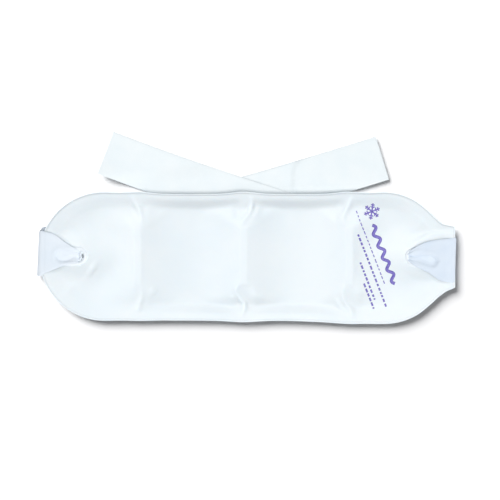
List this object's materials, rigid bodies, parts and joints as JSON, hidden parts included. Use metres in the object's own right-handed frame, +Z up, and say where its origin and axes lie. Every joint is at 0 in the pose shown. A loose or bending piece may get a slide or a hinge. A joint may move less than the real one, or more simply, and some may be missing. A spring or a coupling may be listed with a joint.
{
  "type": "cold compression wrap",
  "caption": "Flat gel pad with folding chambers, end eyelets and a threaded strap band, for strapping cold compression round a limb.",
  "frame": {"origin": "centre of the whole outline, pad and strap ends, on the plane that the wrap rests on", "axes": "+X along the pad towards its right end, +Y across the pad towards the free strap ends, +Z up, out of the pad's front face"},
  "size_m": [0.3912, 0.176, 0.015],
  "materials": {
    "film": "satin soft film",
    "gel": "translucent gel",
    "eyelet": "glossy",
    "strap": "smooth brushed elastic",
    "hook": "matte hook field"
  },
  "bodies": {
    "mid_left": {"front_film_2": "film", "back_film_2": "film", "gel_fill_2": "gel", "strap_span_2": "strap", "right_tail_2": "strap", "left_tail_2": "strap"},
    "end_left": {"front_film_1": "film", "back_film_1": "film", "gel_fill_1": "gel", "eyelet_ring_left": "eyelet", "strap_wrap_left": "strap", "strap_span_1": "strap", "right_tail_1": "strap"},
    "mid_right": {"front_film_3": "film", "back_film_3": "film", "gel_fill_3": "gel", "strap_span_3": "strap", "right_tail_3": "strap", "left_tail_3": "strap"},
    "end_right": {"front_film_4": "film", "back_film_4": "film", "gel_fill_4": "gel", "eyelet_ring_right": "eyelet", "strap_wrap_right": "strap", "strap_span_4": "strap", "left_tail_4": "strap"},
    "left_end": {"left_tail_end": "strap"},
    "right_end": {"right_tail_end": "strap"},
    "right_tab": {"right_tail_tab": "strap", "hook_patch": "hook"}
  },
  "joints": [
    {"name": "fold_left", "type": "hinge", "parent": "mid_left", "child": "end_left", "pos_m": [-0.101, -0.0275, 0.00745], "axis": [0, 1, 0], "range_deg": [0, 80]},
    {"name": "fold_middle", "type": "hinge", "parent": "mid_left", "child": "mid_right", "pos_m": [-0.0025, -0.0275, 0.00745], "axis": [0, -1, 0], "range_deg": [0, 80]},
    {"name": "fold_right", "type": "hinge", "parent": "mid_right", "child": "end_right", "pos_m": [0.096, -0.0275, 0.00745], "axis": [0, -1, 0], "range_deg": [0, 80]},
    {"name": "left_end_lift", "type": "hinge", "parent": "mid_left", "child": "left_end", "pos_m": [-0.0575, 0.04287, 0.00195], "axis": [0.9852, 0.1715, 0], "range_deg": [0, 90]},
    {"name": "right_end_lift", "type": "hinge", "parent": "mid_right", "child": "right_end", "pos_m": [0.0555, 0.04292, 0.0011], "axis": [0.9919, -0.1267, 0], "range_deg": [0, 90]},
    {"name": "tab_unfold", "type": "hinge", "parent": "right_end", "child": "right_tab", "pos_m": [0.1264, 0.06378, 0.0011], "axis": [0.2982, -0.9545, 0], "range_deg": [0, 180]}
  ]
}
